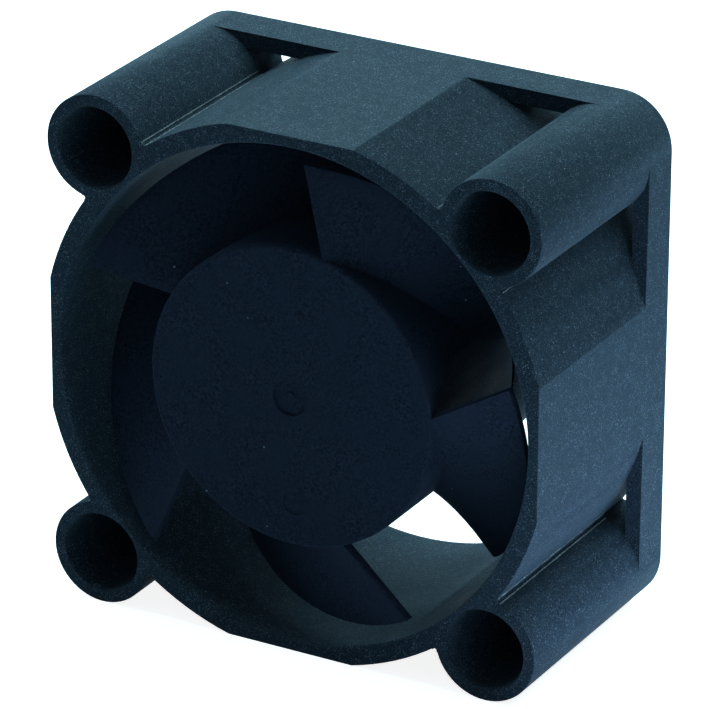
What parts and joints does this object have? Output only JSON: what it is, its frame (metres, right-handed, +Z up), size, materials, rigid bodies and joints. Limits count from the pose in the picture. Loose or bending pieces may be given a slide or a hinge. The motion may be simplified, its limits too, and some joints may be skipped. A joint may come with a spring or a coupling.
{
  "type": "cooling fan",
  "caption": "Small square axial cooling fan: round duct in a rear rim, tubular corner bosses, cambered blades on a closed hub, ball-bearing brushless motor",
  "frame": {"origin": "centre of the rear mounting face, on the fan axis", "axes": "+Y is the fan axis, out of the rear mounting face in the direction of the air flow; +Z is up with the fan standing on its lower edge; +X is to the right seen from the intake side"},
  "size_m": [0.04, 0.02, 0.04],
  "materials": {
    "housing_plastic": "black moulded polyester, fine spark-eroded grain",
    "impeller_plastic": "black moulded polyester, finer grain",
    "yoke_steel": "zinc plated",
    "magnet": "bonded ferrite",
    "brass": "turned",
    "washer_plastic": "natural nylon",
    "lamination_steel": "varnished stack",
    "bobbin_plastic": "natural",
    "copper": "enamelled copper winding",
    "tinned_metal": "tinned",
    "board": "green solder resist",
    "chip_plastic": "moulded package",
    "capacitor": "ceramic chip",
    "label": "blank silver film",
    "bearing_steel": "ground"
  },
  "bodies": {
    "housing": {"frame": "housing_plastic", "bearing_sleeve": "brass", "stator_core": "lamination_steel", "front_insulator": "bobbin_plastic", "rear_insulator": "bobbin_plastic", "coil_1": "copper", "coil_2": "copper", "coil_3": "copper", "coil_4": "copper", "terminal_pins": "tinned_metal", "circuit_board": "board", "driver_chip": "chip_plastic", "hall_sensor": "chip_plastic", "chip_capacitors": "capacitor", "chip_resistors": "chip_plastic", "wire_pads": "tinned_metal", "rear_label": "label", "front_bearing_outer_race": "bearing_steel", "rear_bearing_outer_race": "bearing_steel", "front_bearing_shields": "bearing_steel", "rear_bearing_shields": "bearing_steel"},
    "rotor": {"impeller": "impeller_plastic", "rotor_yoke": "yoke_steel", "magnet_ring": "magnet", "shaft_bush": "brass", "shaft": "bearing_steel", "thrust_washer": "washer_plastic", "retaining_clip": "bearing_steel", "preload_spring": "bearing_steel", "front_bearing_inner_race": "bearing_steel", "rear_bearing_inner_race": "bearing_steel"},
    "front_ball_set": {"front_bearing_balls": "bearing_steel", "front_bearing_cage": "bearing_steel"},
    "rear_ball_set": {"rear_bearing_balls": "bearing_steel", "rear_bearing_cage": "bearing_steel"}
  },
  "joints": [
    {"name": "rotor_spin", "type": "hinge", "parent": "housing", "child": "rotor", "pos_m": [0, -0.01, 0], "axis": [0, -1, 0], "continuous": true},
    {"name": "front_ball_orbit", "type": "hinge", "parent": "housing", "child": "front_ball_set", "pos_m": [0, -0.01435, 0], "axis": [0, -1, 0], "continuous": true},
    {"name": "rear_ball_orbit", "type": "hinge", "parent": "housing", "child": "rear_ball_set", "pos_m": [0, -0.00575, 0], "axis": [0, -1, 0], "continuous": true}
  ],
  "couplings": [
    {"joint": "front_ball_orbit", "follows": "rotor_spin", "ratio": 0.3857},
    {"joint": "rear_ball_orbit", "follows": "rotor_spin", "ratio": 0.3857}
  ]
}
